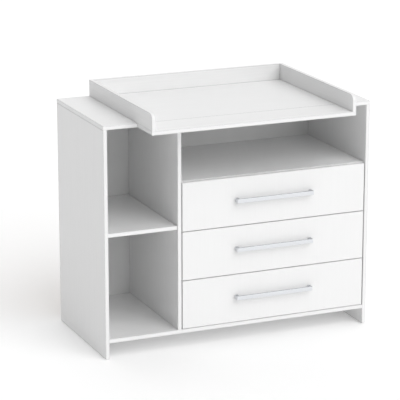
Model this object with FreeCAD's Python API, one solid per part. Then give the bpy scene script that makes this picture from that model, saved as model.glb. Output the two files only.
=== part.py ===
import FreeCAD, Part
import math
import os
from FreeCAD import Vector

# A changing table: a low cabinet of coated board with two open compartments on its left,
# a niche and three drawers on its right, and a changing tray fixed on top that reaches
# out over the front.  Millimetres, +Z up, front towards -Y, origin on the floor under the
# middle of the whole table.

# ---- cabinet ----
cabinet_width = 1100.0
cabinet_depth = 510.0
surface_height = 905.0          # floor to the changing surface
board = 15.0                    # coated board
edge_ease = 0.8                 # radius on the edge banding
foot_height = 65.0              # floor to the underside of the bottom board
left_bay_width = 280.0          # clear width of the open compartments
side_shelf_setback = 5.0
side_shelf_play = 0.5           # at each end of the loose shelf
back_thickness = 3.0            # hardboard
back_recess = 1.0               # back panels sit this far inside the top board's back edge
back_play = 1.0                 # around and between the back panels

# ---- changing tray ----
tray_inset = 135.0              # from each end of the cabinet to the tray
tray_reach = 145.0              # how far the tray stands out over the front
tray_wall_height = 65.0
tray_corner_radius = 25.0

# ---- drawers ----
drawer_names = ["bottom_drawer", "middle_drawer", "top_drawer"]
front_height = 190.0
front_gap = 3.0                 # between one drawer front and the next
front_side_gap = 4.0
front_bottom_gap = 2.0          # above the bottom board
shelf_above_front = 4.0         # the niche's shelf shows above the top drawer
shelf_behind_front = 2.0
box_board = 12.0                # sides and back of a drawer box
box_side_height = 140.0
box_rise = 16.0                 # from a front's lower edge to its box's lower edge
box_back_drop = 15.0            # back is lower than the sides
box_bottom_thickness = 3.0
box_cam_shares = (0.35, 0.8)    # up a box's side
box_screw_shares = (0.3, 0.7)
box_screw_length = 36.0
groove_rise = 12.0              # box edge to the bottom's groove
groove_depth = 6.0
groove_play = 0.2

# ---- drawer handle ----
handle_length = 322.0
handle_height = 16.0
handle_bar_thickness = 7.0
handle_post_width = 12.0
handle_projection = 24.0
handle_rise = 6.0               # above the middle of the front
handle_shift = -5.0             # sideways from the middle of the front
handle_corner = 3.0
handle_ease = 1.0
handle_screw_radius = 2.0
handle_screw_head_radius = 4.0
handle_screw_head_height = 2.0
handle_screw_bite = 10.0

# ---- drawer runners ----
runner_gap = 12.5               # between a drawer box and the cabinet
runner_step = 50.0              # lengths that runners come in
runner_back_play = 5.0
rail_thickness = 1.2
track_depth = 6.6               # cabinet rail, out from the board
rail_clearance = 0.4            # between the two rails
roller_radius = 9.0
roller_play = 0.3               # between a roller and its track
roller_side_play = 0.2
roller_bore_play = 0.08
roller_edge = 0.5
axle_radius = 2.0
axle_collar_radius = 3.0
axle_head_radius = 3.5
axle_head_thickness = 0.5
roller_end_inset = 12.0         # roller centre from the end of its rail

# ---- fittings ----
cam_floor = 2.5                 # board left under a cam's pocket
bolt_floor = 5.0                # board left under a bolt's or dowel's hole
cabinet_cam = {"radius": 7.5, "reach": 34.0, "channel": 3.7, "thread": 3.0, "shank": 2.2, "head": 3.4}
drawer_cam = {"radius": 6.0, "reach": 24.0, "channel": 2.8, "thread": 2.5, "shank": 1.6, "head": 2.5}
cam_slot_radius = 1.0           # of the cross in a cam's face
cam_slot_share = 0.9            # its length as a share of the cam's radius
cam_inset = 100.0               # first and last cam from a board's front and back edge
dowel_radius = 4.0
dowel_spacing = 32.0            # dowel from its cam
dowel_reach = 20.0              # into the edge of a board
dowel_end_room = 1.0
pin_radius = 2.5
pin_bite = 8.0
pin_length = 17.0
pin_inset = 60.0
glide_radius = 7.0
glide_height = 2.0
glide_chamfer = 0.5
glide_nail_radius = 1.0
glide_nail_length = 14.0
glide_inset = 30.0
nail_radius = 0.7
nail_length = 20.0
nail_head_radius = 1.8
nail_head_height = 0.6
nail_pitch = 125.0
nail_edge = 30.0
small_screw_radius = 1.6
small_screw_head_radius = 3.4
small_screw_head_height = 0.5
small_screw_length = 12.0
rail_screw_bite = 9.0
rail_screw_from_cam = 20.0      # outer rail screws beyond the rows of cams
screw_tip_length = 2.0          # in shaft radii
screw_point_share = 0.2         # of the shaft's radius
tray_screw_radius = 2.0
tray_screw_head_radius = 4.0
tray_screw_length = 42.0
tray_screw_inset = 40.0
plate_width = 20.0
plate_length = 80.0
plate_thickness = 2.0
plate_inset = 75.0              # from the tray's ends to the outer joining plates
plate_screw_shares = (-0.375, -0.15, 0.15, 0.375)
bracket_width = 20.0
bracket_leg = 40.0
bracket_thickness = 2.0
bracket_inset = 175.0           # from the cabinet's ends
bracket_hole_radius = 2.75
bracket_hole_drop = 25.0
bracket_screw_share = 0.65      # along the flat leg, from the back
fitting_corner = 3.0
overrun = 1.0                   # that a cut runs past the piece
close = 0.01                    # for picking edges

# ---- places worked out from them ----
table_depth = tray_reach + cabinet_depth
front = -table_depth / 2.0 + tray_reach
top_back = table_depth / 2.0
back = top_back - back_recess - back_thickness
left = -cabinet_width / 2.0
right = cabinet_width / 2.0
inside_left = left + board
inside_right = right - board
divider_left = inside_left + left_bay_width
divider_right = divider_left + board
under_top = surface_height - board
floor_of_bays = foot_height + board
tray_left = left + tray_inset
tray_right = right - tray_inset
tray_front = -table_depth / 2.0
tray_top = surface_height + tray_wall_height
first_front = floor_of_bays + front_bottom_gap
front_pitch = front_height + front_gap
last_front_top = first_front + front_pitch * len(drawer_names) - front_gap
niche_floor = last_front_top + shelf_above_front
niche_shelf_front = front + board + shelf_behind_front
side_shelf_top = (floor_of_bays + under_top + board) / 2.0
runner_front = front + board + shelf_behind_front
runner_room = back - runner_back_play - runner_front
runner_length = runner_step * math.floor(runner_room / runner_step)
front_row = front + cam_inset
back_row = back - cam_inset
box_left = divider_right + runner_gap
box_right = inside_right - runner_gap
box_back = runner_front + runner_length - shelf_behind_front

along_x = Vector(1, 0, 0)
along_y = Vector(0, 1, 0)
along_z = Vector(0, 0, 1)

parts = {}                      # node name: list of solids
bores = []                      # what the fittings take out of the pieces they go into


# ---- plain shapes ----

def block(x, y, z):
    """A box between pairs of coordinates."""
    return Part.makeBox(x[1] - x[0], y[1] - y[0], z[1] - z[0], Vector(x[0], y[0], z[0]))


def panel(x, y, z):
    """A board with eased edges."""
    shape = block(x, y, z)
    return shape.makeFillet(edge_ease, shape.Edges)


def rod(radius, start, direction, length):
    return Part.makeCylinder(radius, length, start, direction)


def eased_bar(x, y, z, radius, axis):
    """A small plate whose edges along one axis are rounded."""
    shape = block(x, y, z)
    corners = [edge for edge in shape.Edges if abs(edge.tangentAt(0).dot(axis)) > 1.0 - close]
    return shape.makeFillet(radius, corners)


def add(name, *solids):
    parts.setdefault(name, []).extend(solids)


def drill(names, holes):
    """Cuts the holes from the named pieces, wherever they reach them."""
    for name in names:
        for index, shape in enumerate(parts[name]):
            near = [hole for hole in holes if shape.BoundBox.intersect(hole.BoundBox)]
            if near:
                parts[name][index] = shape.cut(near)


# ---- fittings; each returns its solids and the room they need ----

def cam_joint(point, along, mouth, thickness, faced, kind):
    """A bolt in the face of one board, held by a cam in the edge-on board.

    point is where the bolt crosses the joint, along leads into the edge-on board and
    mouth points out of the cam's pocket.
    """
    thread_length = faced - bolt_floor
    centre = point + along * kind["reach"]
    pocket_depth = thickness - cam_floor
    pocket_top = centre + mouth * (thickness / 2.0)
    pocket = rod(kind["radius"], pocket_top, mouth * -1.0, pocket_depth)
    channel_end = centre + along * kind["head"]
    channel = rod(kind["channel"], channel_end, along * -1.0, kind["radius"] + kind["head"] + overrun)
    across = along.cross(mouth)
    slot_size = kind["radius"] * cam_slot_share
    slots = []
    for direction in (along, across):
        slot = rod(cam_slot_radius, pocket_top - direction * (slot_size / 2.0), direction, slot_size)
        slots.append(slot)
    cam = pocket.cut([channel] + slots)
    thread = rod(kind["thread"], point, along * -1.0, thread_length)
    shank = rod(kind["shank"], point, along, kind["reach"])
    head = rod(kind["head"], centre - along * (kind["head"] / 2.0), along, kind["head"])
    bolt = thread.fuse([shank, head]).removeSplitter()
    edge_bore = rod(kind["channel"], point, along, kind["reach"])
    return cam, bolt, [pocket, edge_bore, thread]


def dowel(point, along, faced):
    """A wooden dowel from the face of one board into the edge of another."""
    bite = faced - bolt_floor
    peg = rod(dowel_radius, point - along * bite, along, bite + dowel_reach)
    bore = rod(dowel_radius, point - along * bite, along, bite + dowel_reach + dowel_end_room)
    return peg, bore


def wood_screw(point, direction, radius, head_radius, length):
    """A countersunk screw; point is the middle of its head."""
    cone_height = head_radius - radius
    cone = Part.makeCone(head_radius, radius, cone_height, point, direction)
    tip_length = screw_tip_length * radius
    shaft = rod(radius, point, direction, length - tip_length)
    tip_start = point + direction * (length - tip_length)
    tip = Part.makeCone(radius, radius * screw_point_share, tip_length, tip_start, direction)
    return cone.fuse([shaft, tip]).removeSplitter()


def flat_screw(point, direction, radius, head_radius, head_height, length):
    """A thin-headed screw or nail whose head lies on the surface at point."""
    head = rod(head_radius, point - direction * head_height, direction, head_height)
    shaft = rod(radius, point, direction, length)
    return head.fuse(shaft).removeSplitter()


def small_screw(point, direction, length):
    return flat_screw(point, direction, small_screw_radius, small_screw_head_radius,
                      small_screw_head_height, length)


# ---- cabinet boards ----

def build_cabinet():
    whole_depth = (front, back)
    add("side_panel_left", panel((left, inside_left), whole_depth, (glide_height, under_top)))
    add("side_panel_right", panel((inside_right, right), whole_depth, (glide_height, under_top)))
    add("top_board", panel((left, right), (front, top_back), (under_top, surface_height)))
    add("bottom_board", panel((inside_left, inside_right), whole_depth, (foot_height, floor_of_bays)))
    add("divider_panel", panel((divider_left, divider_right), whole_depth, (floor_of_bays, under_top)))
    add("niche_shelf", panel((divider_right, inside_right), (niche_shelf_front, back),
                             (niche_floor - board, niche_floor)))
    shelf_x = (inside_left + side_shelf_play, divider_left - side_shelf_play)
    shelf_y = (front + side_shelf_setback, back - side_shelf_play)
    add("side_shelf", panel(shelf_x, shelf_y, (side_shelf_top - board, side_shelf_top)))
    seam = (divider_left + divider_right) / 2.0
    back_y = (back, back + back_thickness)
    back_z = (foot_height + back_play, under_top - back_play)
    add("back_panel_left", block((left + back_play, seam - back_play / 2.0), back_y, back_z))
    add("back_panel_right", block((seam + back_play / 2.0, right - back_play), back_y, back_z))


def build_carcass_fittings():
    """Cams, bolts and dowels where one board's edge meets another's face."""
    side_middle = board / 2.0
    joints = [
        # point on the joint, into the edge-on board, out of the cam's mouth
        (Vector(left + side_middle, 0, under_top), along_z * -1.0, along_x),
        (Vector(right - side_middle, 0, under_top), along_z * -1.0, along_x * -1.0),
        (Vector(divider_left + side_middle, 0, under_top), along_z * -1.0, along_x),
        (Vector(divider_left + side_middle, 0, floor_of_bays), along_z, along_x),
        (Vector(inside_left, 0, foot_height + side_middle), along_x, along_z * -1.0),
        (Vector(inside_right, 0, foot_height + side_middle), along_x * -1.0, along_z * -1.0),
        (Vector(divider_right, 0, niche_floor - side_middle), along_x, along_z * -1.0),
        (Vector(inside_right, 0, niche_floor - side_middle), along_x * -1.0, along_z * -1.0),
    ]
    for point, along, mouth in joints:
        for row, outward in ((front_row, -1.0), (back_row, 1.0)):
            place = point + along_y * row
            cam, bolt, room = cam_joint(place, along, mouth, board, board, cabinet_cam)
            peg, bore = dowel(place + along_y * (outward * dowel_spacing), along, board)
            add("cam_locks", cam)
            add("cam_bolts", bolt)
            add("wood_dowels", peg)
            bores.extend(room)
            bores.append(bore)


def build_shelf_pins():
    pin_z = side_shelf_top - board - pin_radius
    for y in (front + pin_inset, back - pin_inset):
        for x, inward in ((inside_left, 1.0), (divider_left, -1.0)):
            start = Vector(x - inward * pin_bite, y, pin_z)
            pin = rod(pin_radius, start, along_x * inward, pin_length)
            add("shelf_pins", pin)
            bores.append(pin)


def build_glides():
    for x in (left + board / 2.0, right - board / 2.0):
        for y in (front + glide_inset, back - glide_inset):
            disc = rod(glide_radius, Vector(x, y, 0), along_z, glide_height)
            disc = disc.makeChamfer(glide_chamfer, [disc.Edges[2]])
            nail = rod(glide_nail_radius, Vector(x, y, glide_height), along_z, glide_nail_length)
            add("floor_glides", disc.fuse(nail).removeSplitter())
            bores.append(nail)


def spaced(low, high, pitch):
    """Even places from low to high, no further apart than pitch."""
    count = max(1, math.ceil((high - low) / pitch))
    return [low + (high - low) * step / count for step in range(count + 1)]


def build_back_nails():
    seam = (divider_left + divider_right) / 2.0
    heights = spaced(floor_of_bays + nail_edge, under_top - nail_edge, nail_pitch)
    columns = [left + board / 2.0, seam - board / 4.0, seam + board / 4.0, right - board / 2.0]
    places = [(x, z) for x in columns for z in heights]
    low_row = foot_height + board / 2.0
    left_run = spaced(inside_left + nail_edge, divider_left - nail_edge, nail_pitch)
    right_run = spaced(divider_right + nail_edge, inside_right - nail_edge, nail_pitch)
    places += [(x, low_row) for x in left_run + right_run]
    for x, z in places:
        point = Vector(x, back + back_thickness, z)
        nail = flat_screw(point, along_y * -1.0, nail_radius, nail_head_radius, nail_head_height,
                          nail_length)
        add("back_nails", nail)
        bores.append(nail)


def build_wall_brackets():
    """Two angles under the top board, with a hole each for a screw into the wall."""
    for x in (left + bracket_inset, right - bracket_inset):
        span = (x - bracket_width / 2.0, x + bracket_width / 2.0)
        flat = block(span, (back - bracket_leg, back), (under_top - bracket_thickness, under_top))
        upright = block(span, (back - bracket_thickness, back), (under_top - bracket_leg, under_top))
        angle = flat.fuse(upright).removeSplitter()
        hole_height = under_top - bracket_hole_drop
        wall_hole = rod(bracket_hole_radius, Vector(x, back - bracket_leg, hole_height), along_y,
                        bracket_leg + back_thickness + back_recess)
        add("wall_brackets", angle)
        bores.append(wall_hole)
        screw_y = back - bracket_leg * bracket_screw_share
        screw = small_screw(Vector(x, screw_y, under_top - bracket_thickness), along_z, small_screw_length)
        add("small_screws", screw)
        bores.append(screw)


# ---- changing tray ----

def tray_side(x):
    """A side wall with its front top corner rounded, as an outline drawn across X."""
    low = surface_height
    radius = tray_corner_radius
    bottom_front = Vector(x, tray_front, low)
    arc_start = Vector(x, tray_front, tray_top - radius)
    bend = radius * (1.0 - math.sqrt(0.5))
    arc_middle = Vector(x, tray_front + bend, tray_top - bend)
    arc_end = Vector(x, tray_front + radius, tray_top)
    top_end = Vector(x, top_back, tray_top)
    bottom_end = Vector(x, top_back, low)
    outline = Part.Wire([
        Part.makeLine(bottom_front, arc_start),
        Part.Arc(arc_start, arc_middle, arc_end).toShape(),
        Part.makeLine(arc_end, top_end),
        Part.makeLine(top_end, bottom_end),
        Part.makeLine(bottom_end, bottom_front),
    ])
    wall = Part.Face(outline).extrude(along_x * board)
    return wall.makeFillet(edge_ease, wall.Edges)


def build_tray():
    add("tray_front_board", panel((tray_left, tray_right), (tray_front, front), (under_top, surface_height)))
    add("tray_side_left", tray_side(tray_left))
    add("tray_side_right", tray_side(tray_right - board))
    inner = (tray_left + board, tray_right - board)
    add("tray_back", panel(inner, (top_back - board, top_back), (surface_height, tray_top)))
    for x, along in ((inner[0], along_x), (inner[1], along_x * -1.0)):
        point = Vector(x, top_back - board / 2.0, tray_top - tray_wall_height / 3.0)
        cam, bolt, room = cam_joint(point, along, along_y, board, board, cabinet_cam)
        peg, bore = dowel(point - along_z * (tray_wall_height / 3.0), along, board)
        add("cam_locks", cam)
        add("cam_bolts", bolt)
        add("wood_dowels", peg)
        bores.extend(room)
        bores.append(bore)
    for x in (tray_left + board / 2.0, tray_right - board / 2.0):
        front_pair = (tray_front + tray_screw_inset, front - tray_screw_inset)
        back_pair = (front + 2.0 * tray_screw_inset, top_back - 2.0 * tray_screw_inset)
        for y in front_pair + back_pair:
            screw = wood_screw(Vector(x, y, under_top), along_z, tray_screw_radius,
                               tray_screw_head_radius, tray_screw_length)
            add("tray_screws", screw)
            bores.append(screw)


def build_joining_plates():
    """Flat plates under the seam between the top board and the tray's front board."""
    for x in (tray_left + plate_inset, (tray_left + tray_right) / 2.0, tray_right - plate_inset):
        span = (x - plate_width / 2.0, x + plate_width / 2.0)
        reach = (front - plate_length / 2.0, front + plate_length / 2.0)
        plate = eased_bar(span, reach, (under_top - plate_thickness, under_top), fitting_corner, along_z)
        add("joining_plates", plate)
        for share in plate_screw_shares:
            point = Vector(x, front + plate_length * share, under_top - plate_thickness)
            screw = small_screw(point, along_z, small_screw_length)
            add("small_screws", screw)
            bores.append(screw)


# ---- runners and rollers ----

def rail_screw_places():
    """Three screws to a rail, clear of the cams and dowels in the boards behind it."""
    middle = (front_row + back_row) / 2.0
    return (front_row - rail_screw_from_cam, middle, back_row + rail_screw_from_cam)


def roller_height(index):
    """Height of the roller axles of one drawer; they turn just above its lower edge."""
    return first_front + index * front_pitch + box_rise + roller_radius + rail_thickness


def drawer_flange_start():
    return track_depth + rail_clearance


def roller(x, y, z, width):
    body = rod(roller_radius, Vector(x, y, z), along_x, width)
    body = body.makeFillet(roller_edge, body.Edges[0:1] + body.Edges[2:3])
    hole = rod(axle_radius + roller_bore_play, Vector(x - overrun, y, z), along_x, width + 2.0 * overrun)
    return body.cut(hole)


def mirrored(shape, wall):
    """Moves a shape built from x = 0 outwards to a wall, facing left or right."""
    place, inward = wall
    if inward < 0:
        shape = shape.mirror(Vector(0, 0, 0), along_x)
    shape.translate(Vector(place, 0, 0))
    return shape


def build_cabinet_rail(wall, height, label):
    """The rail on the cabinet, built outwards from x = 0, with the front roller's axle."""
    length = (runner_front, runner_front + runner_length)
    half = roller_radius + roller_play + rail_thickness
    outer = block((0, track_depth), length, (height - half, height + half))
    inside = roller_radius + roller_play
    hollow = block((rail_thickness, track_depth), length, (height - inside, height + inside))
    web_reach = runner_gap - rail_thickness - roller_play
    axle_y = runner_front + roller_end_inset
    seat = drawer_flange_start() - roller_side_play
    collar = rod(axle_collar_radius, Vector(0, axle_y, height), along_x, seat)
    axle = rod(axle_radius, Vector(0, axle_y, height), along_x, web_reach)
    head_start = web_reach - axle_head_thickness
    head = rod(axle_head_radius, Vector(head_start, axle_y, height), along_x, axle_head_thickness)
    rail = outer.cut(hollow).fuse([collar, axle, head]).removeSplitter()
    add("cabinet_runners", mirrored(rail, wall))
    width = head_start - roller_side_play - drawer_flange_start()
    add(label + "_front_rollers", mirrored(roller(drawer_flange_start(), axle_y, height, width), wall))
    for y in rail_screw_places():
        point = Vector(rail_thickness, y, height)
        screw = small_screw(point, along_x * -1.0, small_screw_length)
        screw = mirrored(screw, wall)
        add("small_screws", screw)
        bores.append(screw)


def build_drawer_rail(wall, height, label, box_low):
    """The rail on the drawer box, with the rear roller's axle; x = 0 is the cabinet's face."""
    length = (runner_front, runner_front + runner_length)
    flange_low = height + roller_radius + roller_play
    web = (runner_gap - rail_thickness, runner_gap)
    upright = block(web, length, (box_low - rail_thickness, flange_low + rail_thickness))
    top = block((drawer_flange_start(), runner_gap), length, (flange_low, flange_low + rail_thickness))
    under = block((web[0], runner_gap + box_board), length, (box_low - rail_thickness, box_low))
    axle_y = length[1] - roller_end_inset
    head_start = rail_thickness + small_screw_head_height + roller_play
    collar_start = track_depth - roller_side_play
    collar = rod(axle_collar_radius, Vector(collar_start, axle_y, height), along_x, web[1] - collar_start)
    axle = rod(axle_radius, Vector(head_start, axle_y, height), along_x, web[1] - head_start)
    head = rod(axle_head_radius, Vector(head_start, axle_y, height), along_x, axle_head_thickness)
    rail = upright.fuse([top, under, collar, axle, head]).removeSplitter()
    add(label + "_runners", mirrored(rail, wall))
    roller_start = head_start + axle_head_thickness + roller_side_play
    width = collar_start - roller_side_play - roller_start
    add(label + "_rear_rollers", mirrored(roller(roller_start, axle_y, height, width), wall))
    screws = []
    for y in rail_screw_places():
        point = Vector(runner_gap + box_board / 2.0, y, box_low - rail_thickness)
        screw = small_screw(point, along_z, rail_screw_bite + rail_thickness)
        screws.append(mirrored(screw, wall))
    return screws


# ---- drawers ----

def handle_shape(x, z):
    """A square bow handle, drawn from above and raised to its height."""
    half = handle_length / 2.0
    inner = half - handle_post_width
    face = front - handle_projection
    behind = face + handle_bar_thickness
    corners = [(x - half, front), (x - half, face), (x + half, face), (x + half, front),
               (x + inner, front), (x + inner, behind), (x - inner, behind), (x - inner, front)]
    low = z - handle_height / 2.0
    points = [Vector(px, py, low) for px, py in corners]
    bow = Part.Face(Part.makePolygon(points + points[:1])).extrude(along_z * handle_height)
    upright = [edge for edge in bow.Edges if abs(edge.tangentAt(edge.FirstParameter).z) > 1.0 - close]
    at_face = [edge for edge in upright if abs(edge.Vertexes[0].Y - face) < close]
    bow = bow.makeFillet(handle_corner, at_face)
    long_edges = [edge for edge in bow.Edges
                  if edge.BoundBox.ZLength < close and edge.BoundBox.YMin < behind - close]
    return bow.makeFillet(handle_ease, long_edges)


def build_drawer(index, label):
    low = first_front + index * front_pitch
    box_low = low + box_rise
    height = roller_height(index)
    holes = []
    front_x = (divider_right + front_side_gap, inside_right - front_side_gap)
    box_front = front + board
    box_top = box_low + box_side_height
    add(label + "_front", panel(front_x, (front, box_front), (low, low + front_height)))
    side_y = (box_front, box_back)
    side_z = (box_low, box_top)
    add(label + "_side_left", panel((box_left, box_left + box_board), side_y, side_z))
    add(label + "_side_right", panel((box_right - box_board, box_right), side_y, side_z))
    bottom_low = box_low + groove_rise
    bottom_top = bottom_low + box_bottom_thickness
    inner_x = (box_left + box_board, box_right - box_board)
    add(label + "_back", panel(inner_x, (box_back - box_board, box_back),
                               (bottom_top, box_top - box_back_drop)))
    reach = groove_depth - groove_play
    bottom_x = (inner_x[0] - reach, inner_x[1] + reach)
    add(label + "_bottom", block(bottom_x, (box_front - reach, box_back), (bottom_low, bottom_top)))
    groove_x = (inner_x[0] - groove_depth, inner_x[1] + groove_depth)
    groove_z = (bottom_low, bottom_top)
    holes.append(block(groove_x, (box_front - groove_depth, box_back), groove_z))

    sides = ((box_left + box_board / 2.0, along_x), (box_right - box_board / 2.0, along_x * -1.0))
    for x, mouth in sides:
        for share in box_cam_shares:
            point = Vector(x, box_front, box_low + box_side_height * share)
            cam, bolt, room = cam_joint(point, along_y, mouth, box_board, board, drawer_cam)
            add(label + "_cam_fittings", cam, bolt)
            holes.extend(room)
    for x, inward in ((box_left, along_x), (box_right, along_x * -1.0)):
        for share in box_screw_shares:
            point = Vector(x, box_back - box_board / 2.0, box_low + box_side_height * share)
            screw = wood_screw(point, inward, small_screw_radius, small_screw_head_radius, box_screw_length)
            add(label + "_screws", screw)
            holes.append(screw)

    walls = ((divider_right, 1.0), (inside_right, -1.0))
    for wall in walls:
        build_cabinet_rail(wall, height, label)
        for screw in build_drawer_rail(wall, height, label, box_low):
            add(label + "_screws", screw)
            holes.append(screw)

    handle_x = (front_x[0] + front_x[1]) / 2.0 + handle_shift
    handle_z = low + front_height / 2.0 + handle_rise
    add(label + "_handle", handle_shape(handle_x, handle_z))
    spread = (handle_length - handle_post_width) / 2.0
    for x in (handle_x - spread, handle_x + spread):
        point = Vector(x, box_front, handle_z)
        screw = flat_screw(point, along_y * -1.0, handle_screw_radius, handle_screw_head_radius,
                           handle_screw_head_height, board + handle_screw_bite)
        add(label + "_handle_screws", screw)
        holes.append(screw)

    boards = ["_front", "_side_left", "_side_right", "_back"]
    drill([label + board_name for board_name in boards], holes)
    drill([label + "_runners", label + "_handle"], holes[1:])


# ---- the whole table ----

build_cabinet()
build_tray()
build_carcass_fittings()
build_shelf_pins()
build_glides()
build_back_nails()
build_wall_brackets()
build_joining_plates()
for drawer_index, drawer_label in enumerate(drawer_names):
    build_drawer(drawer_index, drawer_label)

drilled = ["side_panel_left", "side_panel_right", "top_board", "bottom_board", "divider_panel",
           "niche_shelf", "back_panel_left", "back_panel_right", "tray_front_board",
           "tray_side_left", "tray_side_right", "tray_back", "joining_plates",
           "wall_brackets", "cabinet_runners"]
drill(drilled, bores)

os.makedirs("parts", exist_ok=True)
for node, solids in parts.items():
    shape = solids[0] if len(solids) == 1 else Part.makeCompound(solids)
    shape.exportStep(os.path.join("parts", node + ".step"))
    print(node, len(solids), round(shape.Volume))
print(len(parts), "nodes")
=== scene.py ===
import math

import bpy
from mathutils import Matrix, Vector


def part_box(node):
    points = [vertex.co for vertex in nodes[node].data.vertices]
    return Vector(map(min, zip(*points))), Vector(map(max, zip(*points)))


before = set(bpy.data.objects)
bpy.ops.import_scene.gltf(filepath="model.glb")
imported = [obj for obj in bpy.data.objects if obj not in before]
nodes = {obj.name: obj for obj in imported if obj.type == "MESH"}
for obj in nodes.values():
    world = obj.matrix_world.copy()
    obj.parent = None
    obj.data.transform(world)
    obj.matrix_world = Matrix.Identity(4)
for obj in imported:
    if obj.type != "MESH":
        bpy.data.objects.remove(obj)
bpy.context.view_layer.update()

# Looks for a white changing table: coated boards, hardboard backs, brushed bow handles,
# lacquered roller runners and plated fittings. Every shape is a CAD node; this script gives
# each of them its finish and sets up the floor, the lights and the camera. Metres.

drawers = ["bottom_drawer", "middle_drawer", "top_drawer"]


# Node helpers shared by all finishes

def startMaterial(name):
    material = bpy.data.materials.new(name)
    material.use_nodes = True
    tree = material.node_tree
    tree.nodes.clear()
    output = tree.nodes.new("ShaderNodeOutputMaterial")
    shader = tree.nodes.new("ShaderNodeBsdfPrincipled")
    tree.links.new(shader.outputs["BSDF"], output.inputs["Surface"])
    place = tree.nodes.new("ShaderNodeTexCoord").outputs["Object"]
    return material, tree, shader, place


def stretched(tree, place, stretch):
    mapping = tree.nodes.new("ShaderNodeMapping")
    mapping.inputs["Scale"].default_value = stretch
    tree.links.new(place, mapping.inputs["Vector"])
    return mapping.outputs["Vector"]


def noise(tree, place, grain, detail=2.0, roughness=0.5, distortion=0.0):
    # grain is the size of one blotch in metres
    texture = tree.nodes.new("ShaderNodeTexNoise")
    texture.inputs["Scale"].default_value = 1.0 / grain
    texture.inputs["Detail"].default_value = detail
    texture.inputs["Roughness"].default_value = roughness
    texture.inputs["Distortion"].default_value = distortion
    tree.links.new(place, texture.inputs["Vector"])
    return texture.outputs["Fac"]


def spread(tree, value, low, high, fromLow=0.3, fromHigh=0.7):
    # maps the middle of a noise onto low..high
    remap = tree.nodes.new("ShaderNodeMapRange")
    remap.inputs["From Min"].default_value = fromLow
    remap.inputs["From Max"].default_value = fromHigh
    remap.inputs["To Min"].default_value = low
    remap.inputs["To Max"].default_value = high
    tree.links.new(value, remap.inputs["Value"])
    return remap.outputs["Result"]


def blendColours(tree, factor, first, second):
    mix = tree.nodes.new("ShaderNodeMix")
    mix.data_type = "RGBA"
    for socket, colour in ((mix.inputs["A"], first), (mix.inputs["B"], second)):
        if isinstance(colour, tuple):
            socket.default_value = (*colour, 1.0)
        else:
            tree.links.new(colour, socket)
    tree.links.new(factor, mix.inputs["Factor"])
    return mix.outputs["Result"]


def bump(tree, height, depth, below=None):
    # depth is the height of the relief in metres; below is a bump this one lies on
    node = tree.nodes.new("ShaderNodeBump")
    node.inputs["Strength"].default_value = 1.0
    node.inputs["Distance"].default_value = depth
    tree.links.new(height, node.inputs["Height"])
    if below is not None:
        tree.links.new(below, node.inputs["Normal"])
    return node.outputs["Normal"]


def calculate(tree, operation, first, second):
    # first and second are numbers or sockets
    node = tree.nodes.new("ShaderNodeMath")
    node.operation = operation
    for socket, value in zip(node.inputs, (first, second)):
        if isinstance(value, float):
            socket.default_value = value
        else:
            tree.links.new(value, socket)
    return node.outputs["Value"]


facingRange = (0.45, 0.55)       # cosine of the angle to the axis, from none to full


def facing(tree, axis):
    # 1 on surfaces that face along the axis, 0 on all others
    geometry = tree.nodes.new("ShaderNodeNewGeometry")
    dot = tree.nodes.new("ShaderNodeVectorMath")
    dot.operation = "DOT_PRODUCT"
    dot.inputs[1].default_value = axis
    tree.links.new(geometry.outputs["Normal"], dot.inputs[0])
    return spread(tree, dot.outputs["Value"], 0.0, 1.0, *facingRange)


def dress(material, *names):
    for name in names:
        mesh = nodes[name].data
        for index in range(len(mesh.materials)):
            mesh.materials[index] = material


whiteBoard = {
    "colour": (0.85, 0.85, 0.85),
    "streakColour": (0.831, 0.832, 0.832),  # the faint printed grain
    "streakWidth": 0.007,
    "fineWidth": 0.0016,
    "streakStretch": 0.03,       # a streak's width as a share of its length
    "streakDistortion": 0.4,
    "broadShare": 0.6,           # of the grain; the fine streaks are the rest
    "streakRange": (0.4, 0.62),  # the part of the noise that shows
    "roughness": (0.36, 0.44),
    "smearSize": 0.045,          # wiped patches, slightly duller
    "peelSize": 0.0022,          # the orange peel of the foil
    "peelDepth": 0.000012,
    "chipSize": 0.018,           # chips underneath, telegraphing through
    "chipDepth": 0.00002,
    "specular": 0.45,
    "edgeShadeColour": (0.3, 0.3, 0.3),   # painted shade: the dark line drawn along the board edges
    "faceDepth": 0.0003,         # a point this close to a face lies on it
    "edgeShadeStart": 0.0007,
    "edgeShadeWidth": 0.0014,
    "edgeShadeStrength": 0.42,
    "edgeShadeNarrowShare": 0.35,       # how much of it shows on the narrow faces
}


def edgeDistances(tree, place, board):
    # how far a point lies inside each pair of the board's faces, in metres
    low, high = (Vector(corner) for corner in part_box(board))
    offset = tree.nodes.new("ShaderNodeVectorMath")
    offset.operation = "SUBTRACT"
    offset.inputs[1].default_value = (low + high) / 2.0
    tree.links.new(place, offset.inputs[0])
    size = tree.nodes.new("ShaderNodeVectorMath")
    size.operation = "ABSOLUTE"
    tree.links.new(offset.outputs["Vector"], size.inputs[0])
    inside = tree.nodes.new("ShaderNodeVectorMath")
    inside.operation = "SUBTRACT"
    inside.inputs[0].default_value = (high - low) / 2.0
    tree.links.new(size.outputs["Vector"], inside.inputs[1])
    split = tree.nodes.new("ShaderNodeSeparateXYZ")
    tree.links.new(inside.outputs["Vector"], split.inputs["Vector"])
    return list(split.outputs), low, high


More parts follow.
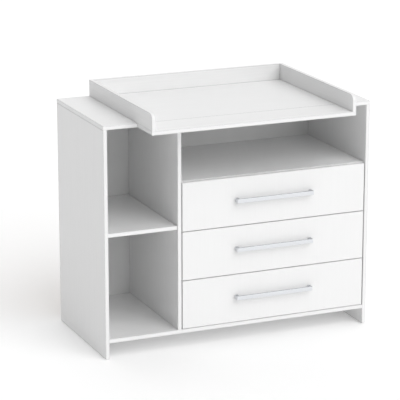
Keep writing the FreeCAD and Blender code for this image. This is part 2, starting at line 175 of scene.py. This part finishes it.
def cornerDistance(tree, place, low, high, radius):
    # the same for the rounded upper front corner of a tray side
    split = tree.nodes.new("ShaderNodeSeparateXYZ")
    tree.links.new(place, split.inputs["Vector"])
    ahead = calculate(tree, "SUBTRACT", low.y + radius, split.outputs["Y"])
    above = calculate(tree, "SUBTRACT", split.outputs["Z"], high.z - radius)
    ahead = calculate(tree, "MAXIMUM", ahead, 0.0)
    above = calculate(tree, "MAXIMUM", above, 0.0)
    across = calculate(tree, "ADD", calculate(tree, "MULTIPLY", ahead, ahead),
                       calculate(tree, "MULTIPLY", above, above))
    return calculate(tree, "SUBTRACT", radius, calculate(tree, "SQRT", across, 0.0))


def lineBand(tree, face, across, look):
    # 1 on the face, from where the line starts to where it ends
    onFace = calculate(tree, "LESS_THAN", face, look["faceDepth"])
    past = calculate(tree, "GREATER_THAN", across, look["edgeShadeStart"])
    before = calculate(tree, "LESS_THAN", across, look["edgeShadeStart"] + look["edgeShadeWidth"])
    return calculate(tree, "MULTIPLY", onFace, calculate(tree, "MULTIPLY", past, before))


def paintedEdgeShade(tree, place, board, look, cornerRadius):
    # how strongly the painted shade line shows, round the broad faces and fainter along the narrow
    # ones
    distances, low, high = edgeDistances(tree, place, board)
    thin = min(range(3), key=lambda axis: high[axis] - low[axis])
    others = [distances[axis] for axis in range(3) if axis != thin]
    edge = calculate(tree, "MINIMUM", *others)
    if cornerRadius:
        corner = cornerDistance(tree, place, low, high, cornerRadius)
        edge = calculate(tree, "MINIMUM", edge, corner)
    broad = lineBand(tree, distances[thin], edge, look)
    narrow = lineBand(tree, edge, distances[thin], look)
    narrow = calculate(tree, "MULTIPLY", narrow, look["edgeShadeNarrowShare"])
    return calculate(tree, "MULTIPLY", calculate(tree, "ADD", broad, narrow), look["edgeShadeStrength"])


def makeBoard(board, look, grain, cornerRadius=0.0):
    material, tree, shader, place = startMaterial("foil_" + board)
    stretch = [1.0, 1.0, 1.0]
    stretch["XYZ".index(grain)] = look["streakStretch"]
    along = stretched(tree, place, stretch)
    broad = noise(tree, along, look["streakWidth"], distortion=look["streakDistortion"])
    fine = noise(tree, along, look["fineWidth"])
    streaks = calculate(tree, "ADD", calculate(tree, "MULTIPLY", broad, look["broadShare"]),
                        calculate(tree, "MULTIPLY", fine, 1.0 - look["broadShare"]))
    colour = blendColours(tree, spread(tree, streaks, 0.0, 1.0, *look["streakRange"]),
                          look["colour"], look["streakColour"])
    # painted shade: a thin dark line along every edge of the board
    line = paintedEdgeShade(tree, place, board, look, cornerRadius)
    colour = blendColours(tree, line, colour, look["edgeShadeColour"])
    tree.links.new(colour, shader.inputs["Base Color"])
    smear = noise(tree, place, look["smearSize"], detail=4.0)
    tree.links.new(spread(tree, smear, *look["roughness"]), shader.inputs["Roughness"])
    chips = bump(tree, noise(tree, place, look["chipSize"], detail=1.0), look["chipDepth"])
    peel = noise(tree, place, look["peelSize"], detail=1.5)
    tree.links.new(bump(tree, peel, look["peelDepth"], chips), shader.inputs["Normal"])
    shader.inputs["Specular IOR Level"].default_value = look["specular"]
    dress(material, board)


# the edge shade strengths below are painted shade, darkest on the outer boards
frontBoard = {**whiteBoard, "streakColour": (0.841, 0.841, 0.841), "roughness": (0.3, 0.38),
              "edgeShadeStrength": 0.12}
outerBoard = {**whiteBoard, "edgeShadeStrength": 0.72}
boxBoard = {**whiteBoard, "colour": (0.8, 0.8, 0.79), "streakColour": (0.77, 0.77, 0.765),
            "roughness": (0.48, 0.58), "specular": 0.35, "edgeShadeStrength": 0.2}
outerGrain = {                   # the axis that each board's grain runs along
    "side_panel_left": "Z", "side_panel_right": "Z", "top_board": "X", "tray_front_board": "X",
}
innerGrain = {
    "divider_panel": "Z", "bottom_board": "X", "niche_shelf": "X", "side_shelf": "X", "tray_back": "X",
}
trayCornerRadius = 0.025         # upper front corner of the tray sides

for board, grain in outerGrain.items():
    makeBoard(board, outerBoard, grain)
for board, grain in innerGrain.items():
    makeBoard(board, whiteBoard, grain)
for board in ("tray_side_left", "tray_side_right"):
    makeBoard(board, whiteBoard, "Y", trayCornerRadius)
for drawer in drawers:
    makeBoard(drawer + "_front", frontBoard, "Z")
    makeBoard(drawer + "_side_left", boxBoard, "Y")
    makeBoard(drawer + "_side_right", boxBoard, "Y")
    makeBoard(drawer + "_back", boxBoard, "X")
print("boards dressed")


hardboard = {
    "lacquer": (0.8, 0.802, 0.8),
    "lacquerCloud": (0.775, 0.778, 0.778),
    "cloudSize": 0.15,
    "lacquerRoughness": 0.5,
    "lacquerRelief": 0.15,       # how much of the fibre's relief the lacquer leaves
    "fibre": (0.33, 0.205, 0.115),
    "fibreDark": (0.215, 0.125, 0.068),
    "fibreFleck": (0.43, 0.3, 0.185),
    "fleckSize": 0.00175,
    "fleckStrength": 0.6,
    "fleckRange": (0.58, 0.72),
    "fibreSize": 0.0035,
    "fibreStretch": (1.0, 1.0, 0.25),
    "fibreRoughness": 0.82,
    "meshSize": 0.0016,          # the screen's print on the rough side
    "fibreDepth": 0.00012,
    "specular": 0.35,
}


def makeHardboard(name, look, whiteSide):
    # lacquered on the side that faces into the furniture, bare pressed fibre on the other
    material, tree, shader, place = startMaterial(name)
    white = facing(tree, whiteSide)
    cloud = noise(tree, place, look["cloudSize"], detail=3.0)
    lacquer = blendColours(tree, spread(tree, cloud, 0.0, 1.0), look["lacquer"], look["lacquerCloud"])
    strands = noise(tree, stretched(tree, place, look["fibreStretch"]), look["fibreSize"],
                    detail=6.0, roughness=0.65, distortion=0.6)
    fibre = blendColours(tree, spread(tree, strands, 0.0, 1.0), look["fibreDark"], look["fibre"])
    flecks = noise(tree, place, look["fleckSize"], detail=4.0)
    fleckShare = spread(tree, flecks, 0.0, look["fleckStrength"], *look["fleckRange"])
    fibre = blendColours(tree, fleckShare, fibre, look["fibreFleck"])
    tree.links.new(blendColours(tree, white, fibre, lacquer), shader.inputs["Base Color"])
    rough = spread(tree, white, look["fibreRoughness"], look["lacquerRoughness"], 0.0, 1.0)
    tree.links.new(rough, shader.inputs["Roughness"])
    relief = calculate(tree, "MULTIPLY", noise(tree, place, look["meshSize"]),
                       spread(tree, white, 1.0, look["lacquerRelief"], 0.0, 1.0))
    tree.links.new(bump(tree, relief, look["fibreDepth"]), shader.inputs["Normal"])
    shader.inputs["Specular IOR Level"].default_value = look["specular"]
    return material


backHardboard = makeHardboard("backHardboard", hardboard, (0.0, -1.0, 0.0))
dress(backHardboard, "back_panel_left", "back_panel_right")
bottomHardboard = makeHardboard("bottomHardboard", hardboard, (0.0, 0.0, 1.0))
for drawer in drawers:
    dress(bottomHardboard, drawer + "_bottom")
print("hardboard dressed")


brushedNickel = {
    "colour": (0.79, 0.805, 0.83),
    "dullColour": (0.72, 0.735, 0.76),
    "roughness": (0.26, 0.38),
    "lineSize": 0.0005,
    "lineStretch": (0.02, 1.0, 1.0),   # brushed along the bar
    "lineDepth": 0.000006,
    "paintedTopShade": (0.42, 0.435, 0.455),   # painted reflection: the dark tone on the bar's top and underside
}

zincPlate = {
    "colour": (0.63, 0.64, 0.655),
    "dullColour": (0.5, 0.51, 0.53),
    "roughness": (0.28, 0.46),
    "spangle": 0.006,
    "spangleRange": (0.1, 0.8),
    "grain": 0.001,
    "depth": 0.00001,
}

castZinc = {**zincPlate, "roughness": (0.42, 0.6), "spangle": 0.003, "grain": 0.0005, "depth": 0.00004}


def makeBrushed(name, look):
    material, tree, shader, place = startMaterial(name)
    lines = noise(tree, stretched(tree, place, look["lineStretch"]), look["lineSize"], detail=3.0)
    colour = blendColours(tree, spread(tree, lines, 0.0, 1.0), look["dullColour"], look["colour"])
    # painted reflection: faces of the bar that point up or down are painted dark
    for side in ((0.0, 0.0, 1.0), (0.0, 0.0, -1.0)):
        colour = blendColours(tree, facing(tree, side), colour, look["paintedTopShade"])
    tree.links.new(colour, shader.inputs["Base Color"])
    tree.links.new(spread(tree, lines, *look["roughness"]), shader.inputs["Roughness"])
    tree.links.new(bump(tree, lines, look["lineDepth"]), shader.inputs["Normal"])
    shader.inputs["Metallic"].default_value = 1.0
    return material


def makePlated(name, look):
    material, tree, shader, place = startMaterial(name)
    cells = tree.nodes.new("ShaderNodeTexVoronoi")
    cells.inputs["Scale"].default_value = 1.0 / look["spangle"]
    tree.links.new(place, cells.inputs["Vector"])
    shade = spread(tree, cells.outputs["Distance"], 0.0, 1.0, *look["spangleRange"])
    colour = blendColours(tree, shade, look["colour"], look["dullColour"])
    tree.links.new(colour, shader.inputs["Base Color"])
    grain = noise(tree, place, look["grain"], detail=3.0)
    tree.links.new(spread(tree, grain, *look["roughness"]), shader.inputs["Roughness"])
    tree.links.new(bump(tree, grain, look["depth"]), shader.inputs["Normal"])
    shader.inputs["Metallic"].default_value = 1.0
    return material


nickel = makeBrushed("brushedNickel", brushedNickel)
plated = makePlated("zincPlate", zincPlate)
cast = makePlated("castZinc", castZinc)

for drawer in drawers:
    dress(nickel, drawer + "_handle")
    dress(cast, drawer + "_cam_fittings")
    dress(plated, drawer + "_screws", drawer + "_handle_screws")
dress(cast, "cam_locks")
dress(plated, "cam_bolts", "tray_screws", "shelf_pins", "back_nails", "wall_brackets",
      "small_screws", "joining_plates")
print("metals dressed")


runnerLacquer = {
    "colour": (0.77, 0.775, 0.775),
    "otherColour": (0.71, 0.715, 0.72),   # where the coat is thin
    "blotch": 0.0168,
    "roughness": (0.3, 0.42),
    "grain": 0.0014,
    "stretch": (1.0, 1.0, 1.0),
    "depth": 0.00003,
}

nylon = {
    "colour": (0.72, 0.715, 0.69),
    "otherColour": (0.6, 0.595, 0.57),    # where it is worn
    "blotch": 0.0108,
    "roughness": (0.36, 0.5),
    "grain": 0.0009,
    "stretch": (1.0, 1.0, 1.0),
    "depth": 0.000008,
    "subsurface": 0.15,
    "subsurfaceDepth": 0.002,
}

glidePlastic = {**nylon, "colour": (0.66, 0.66, 0.65), "otherColour": (0.52, 0.52, 0.51),
                "subsurface": 0.0}

beechWood = {
    "colour": (0.62, 0.44, 0.27),
    "otherColour": (0.46, 0.3, 0.17),     # the rays
    "blotch": 0.0144,
    "grain": 0.0012,
    "stretch": (0.12, 1.0, 1.0),
    "roughness": (0.55, 0.7),
    "depth": 0.00003,
}


def makeGrained(name, look):
    # one colour drifting into the other, with a fine grain on top
    material, tree, shader, place = startMaterial(name)
    grain = noise(tree, stretched(tree, place, look["stretch"]), look["grain"], detail=3.0)
    blotch = noise(tree, place, look["blotch"])
    colour = blendColours(tree, spread(tree, blotch, 0.0, 1.0), look["colour"], look["otherColour"])
    tree.links.new(colour, shader.inputs["Base Color"])
    tree.links.new(spread(tree, grain, *look["roughness"]), shader.inputs["Roughness"])
    tree.links.new(bump(tree, grain, look["depth"]), shader.inputs["Normal"])
    if "subsurface" in look:
        shader.inputs["Subsurface Weight"].default_value = look["subsurface"]
        shader.inputs["Subsurface Scale"].default_value = look["subsurfaceDepth"]
    return material


lacquered = makeGrained("runnerLacquer", runnerLacquer)
rollerNylon = makeGrained("rollerNylon", nylon)

dress(lacquered, "cabinet_runners")
dress(makeGrained("glidePlastic", glidePlastic), "floor_glides")
dress(makeGrained("beechDowel", beechWood), "wood_dowels")
for drawer in drawers:
    dress(lacquered, drawer + "_runners")
    dress(rollerNylon, drawer + "_front_rollers", drawer + "_rear_rollers")
print("runners and small pieces dressed")


studioFloor = {
    "reach": 60.0,
    "colour": (0.93, 0.93, 0.93),
    "cloudColour": (0.915, 0.915, 0.915),
    "cloudSize": 1.6,
    "roughness": (0.75, 0.9),
    "grain": 0.004,
    "depth": 0.00005,
    "specular": 0.1,
    "glow": 0.14,                # a weak light of its own, which keeps the shadows pale
}


def makeFloor(look):
    mesh = bpy.data.meshes.new("studioFloor")
    reach = look["reach"]
    corners = [(-reach, -reach, 0.0), (reach, -reach, 0.0), (reach, reach, 0.0), (-reach, reach, 0.0)]
    mesh.from_pydata(corners, [], [(0, 1, 2, 3)])
    floor = bpy.data.objects.new("studioFloor", mesh)
    bpy.context.scene.collection.objects.link(floor)
    material, tree, shader, place = startMaterial("floorPaper")
    cloud = noise(tree, place, look["cloudSize"])
    colour = blendColours(tree, spread(tree, cloud, 0.0, 1.0), look["colour"], look["cloudColour"])
    tree.links.new(colour, shader.inputs["Base Color"])
    grain = noise(tree, place, look["grain"])
    tree.links.new(spread(tree, grain, *look["roughness"]), shader.inputs["Roughness"])
    tree.links.new(bump(tree, grain, look["depth"]), shader.inputs["Normal"])
    shader.inputs["Specular IOR Level"].default_value = look["specular"]
    shader.inputs["Emission Color"].default_value = (1.0, 1.0, 1.0, 1.0)
    shader.inputs["Emission Strength"].default_value = look["glow"]
    mesh.materials.append(material)


makeFloor(studioFloor)
print("floor laid")


studioLight = {
    "domeColour": (1.0, 1.0, 1.0),
    "domeStrength": 0.15,        # all round
    "domeRight": 0.24,           # added to that on the right, behind and straight above
    "domeBehind": 0.78,
    "domeTop": 0.72,
    "topFocus": 3.0,             # larger keeps it nearer straight above
    "lampDistance": 4.0,
    "lamps": {                   # where it shines from, degrees across, strength
        "keyLight": ((0.22, -0.73, 0.65), 55.0, 1.08),
        "sideLight": ((0.5, -0.5, 0.7), 60.0, 0.36),
        "lowLight": ((0.15, -0.95, 0.22), 40.0, 0.43),
    },
}


def lightDome(look):
    world = bpy.data.worlds.new("studioDome")
    world.use_nodes = True
    tree = world.node_tree
    sky = tree.nodes["Background"]
    sky.inputs["Color"].default_value = (*look["domeColour"], 1.0)
    direction = tree.nodes.new("ShaderNodeTexCoord").outputs["Generated"]
    axes = tree.nodes.new("ShaderNodeSeparateXYZ")
    tree.links.new(direction, axes.inputs["Vector"])
    fullRight = look["domeStrength"] + look["domeRight"]
    strength = spread(tree, axes.outputs["X"], look["domeStrength"], fullRight, 0.0, 1.0)
    behind = spread(tree, axes.outputs["Y"], 0.0, look["domeBehind"], 0.0, 1.0)
    above = calculate(tree, "MAXIMUM", axes.outputs["Z"], 0.0)
    above = calculate(tree, "POWER", above, look["topFocus"])
    strength = calculate(tree, "ADD", strength, behind)
    strength = calculate(tree, "ADD", strength, calculate(tree, "MULTIPLY", above, look["domeTop"]))
    tree.links.new(strength, sky.inputs["Strength"])
    bpy.context.scene.world = world


def lightStudio(look):
    scene = bpy.context.scene
    lightDome(look)
    for name, (source, softness, strength) in look["lamps"].items():
        light = bpy.data.lights.new(name, "SUN")
        light.energy = strength
        light.angle = math.radians(softness)
        lamp = bpy.data.objects.new(name, light)
        lamp.rotation_mode = "QUATERNION"
        lamp.rotation_quaternion = Vector(source).to_track_quat("Z", "Y")
        lamp.location = Vector(source) * look["lampDistance"]
        scene.collection.objects.link(lamp)
    scene.view_settings.view_transform = "Standard"
    scene.view_settings.look = "None"


lightStudio(studioLight)
print("lights set")


view = {
    "aim": (-0.0858, 0.0, 0.5306),
    "turn": 0.4056,              # radians, seen from the left of straight ahead
    "tilt": 0.2681,              # radians down
    "distance": 7.906,
    "lens": 183.93,
    "sensor": 36.0,
    "clip": (0.1, 200.0),
}


def placeCamera(look):
    data = bpy.data.cameras.new("frontCamera")
    data.lens = look["lens"]
    data.sensor_width = look["sensor"]
    data.clip_start, data.clip_end = look["clip"]
    camera = bpy.data.objects.new("frontCamera", data)
    level = math.cos(look["tilt"])
    ahead = Vector((math.sin(look["turn"]) * level, math.cos(look["turn"]) * level,
                    -math.sin(look["tilt"])))
    camera.location = Vector(look["aim"]) - ahead * look["distance"]
    camera.rotation_mode = "QUATERNION"
    camera.rotation_quaternion = ahead.to_track_quat("-Z", "Y")
    bpy.context.scene.collection.objects.link(camera)
    bpy.context.scene.camera = camera


placeCamera(view)
print("camera placed")
